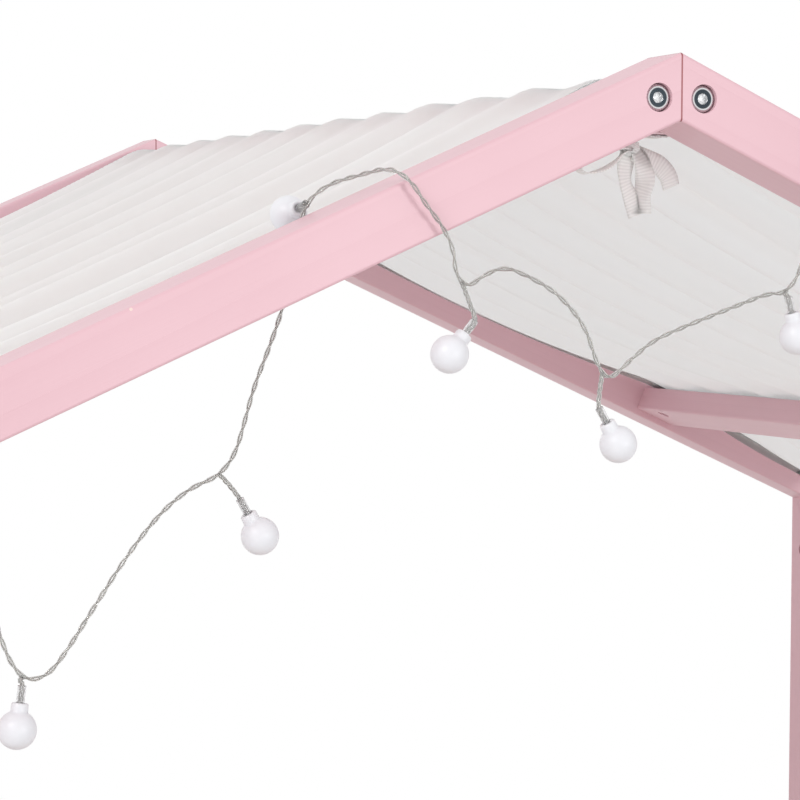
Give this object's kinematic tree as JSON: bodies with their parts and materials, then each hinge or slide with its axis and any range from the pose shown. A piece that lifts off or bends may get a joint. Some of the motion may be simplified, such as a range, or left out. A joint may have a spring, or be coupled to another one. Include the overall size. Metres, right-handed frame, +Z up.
{
  "type": "canopy bed",
  "caption": "Low child's house bed: posts, pitched gable rafters, ridge and purlins, slatted base, railings, white cloth roof and a globe light string.",
  "frame": {"origin": "middle of the bed's footprint, on the floor", "axes": "+X along the bed's length and the gable, +Y from the open front to the rear, +Z up"},
  "size_m": [1.2846, 0.9019, 1.32],
  "materials": {
    "painted_wood": "satin pink paint over fine grain",
    "bare_pine": "planed, unpainted",
    "bright_steel": "bright zinc plate",
    "insert_brass": "machined",
    "beech": "plain, fluted",
    "glide_plastic": "moulded",
    "canopy_fabric": "plain woven white cotton",
    "white_tape": "ribbed twill tape",
    "clear_plastic": "clear flexible sleeve over fine wires",
    "frosted_plastic": "frosted white",
    "led_resin": "clear cast resin",
    "case_plastic": "fine moulded texture",
    "switch_plastic": "moulded",
    "cell_jacket": "plain printed film",
    "contact_steel": "nickel plated",
    "foam_pad": "adhesive foam",
    "grommet_rubber": "soft clear"
  },
  "bodies": {
    "bed": {"front_left_post": "painted_wood", "front_left_rafter": "painted_wood", "front_right_post": "painted_wood", "front_right_rafter": "painted_wood", "rear_left_post": "painted_wood", "rear_left_rafter": "painted_wood", "rear_right_post": "painted_wood", "rear_right_rafter": "painted_wood", "ridge_beam": "painted_wood", "left_purlin": "painted_wood", "right_purlin": "painted_wood", "front_side_rail": "painted_wood", "rear_side_rail": "painted_wood", "left_end_rail": "painted_wood", "right_end_rail": "painted_wood", "left_top_rail": "painted_wood", "right_top_rail": "painted_wood", "rear_top_rail": "painted_wood", "left_spindles": "painted_wood", "right_spindles": "painted_wood", "rear_spindles": "painted_wood", "front_slat_ledger": "bare_pine", "rear_slat_ledger": "bare_pine", "slat_1": "bare_pine", "slat_2": "bare_pine", "slat_3": "bare_pine", "slat_4": "bare_pine", "slat_5": "bare_pine", "slat_6": "bare_pine", "slat_7": "bare_pine", "slat_8": "bare_pine", "slat_9": "bare_pine", "slat_10": "bare_pine", "ridge_bolts": "bright_steel", "roof_bolts": "bright_steel", "rail_bolts": "bright_steel", "base_screws": "bright_steel", "roof_barrel_nuts": "bright_steel", "rail_barrel_nuts": "bright_steel", "ridge_inserts": "insert_brass", "roof_dowels": "beech", "rail_dowels": "beech", "post_glides": "glide_plastic", "canopy_cloth": "canopy_fabric", "front_ridge_tie": "white_tape", "rear_ridge_tie": "white_tape", "corner_ties": "white_tape", "light_wire": "clear_plastic", "light_sleeves": "clear_plastic", "light_globes": "frosted_plastic", "light_leds": "led_resin", "battery_case": "case_plastic", "switch_body": "switch_plastic", "battery_cells": "cell_jacket", "battery_contacts": "contact_steel", "case_pad": "foam_pad", "wire_grommet": "grommet_rubber"},
    "cover": {"battery_cover": "case_plastic"},
    "switch": {"light_switch_knob": "case_plastic"}
  },
  "joints": [
    {"name": "cover_slide", "type": "slide", "parent": "bed", "child": "cover", "axis": [0, 0, -1], "range_m": [0, 0.05]},
    {"name": "switch_slide", "type": "slide", "parent": "bed", "child": "switch", "axis": [0, 1, 0], "range_m": [0, 0.004]}
  ]
}
